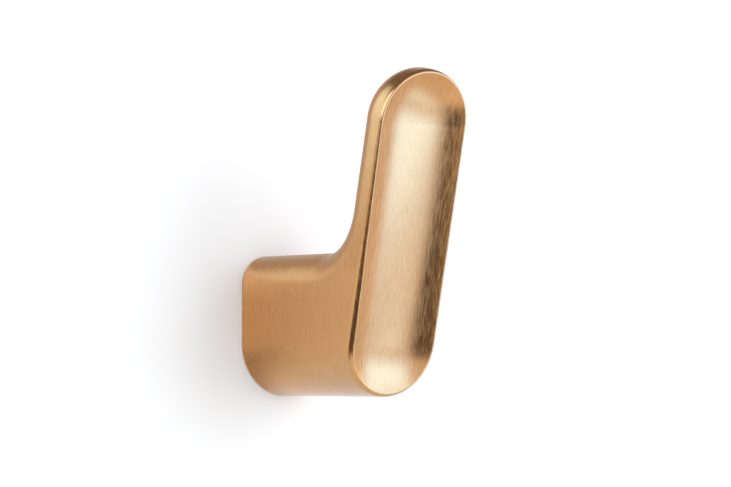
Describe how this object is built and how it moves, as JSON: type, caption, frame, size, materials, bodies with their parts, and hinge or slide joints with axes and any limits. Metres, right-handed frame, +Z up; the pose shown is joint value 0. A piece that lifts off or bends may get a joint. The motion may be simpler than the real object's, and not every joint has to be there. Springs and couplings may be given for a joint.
{
  "type": "coat hook",
  "caption": "One-piece wall hook: a thick post with a half-round underside and a broad leaning arm whose round-ended front is dished, for hanging a coat or bag by its loop.",
  "frame": {"origin": "centre of the fixing hole's mouth, on the wall face", "axes": "+Y into the wall, so the hook stands out towards -Y; +Z up; +X to the right as seen from the room"},
  "size_m": [0.022, 0.0517, 0.0666],
  "materials": {
    "brushed_bronze": "brushed bronze-gold plating, satin lacquered"
  },
  "bodies": {
    "root": {"hook_body": "brushed_bronze"}
  },
  "joints": []
}
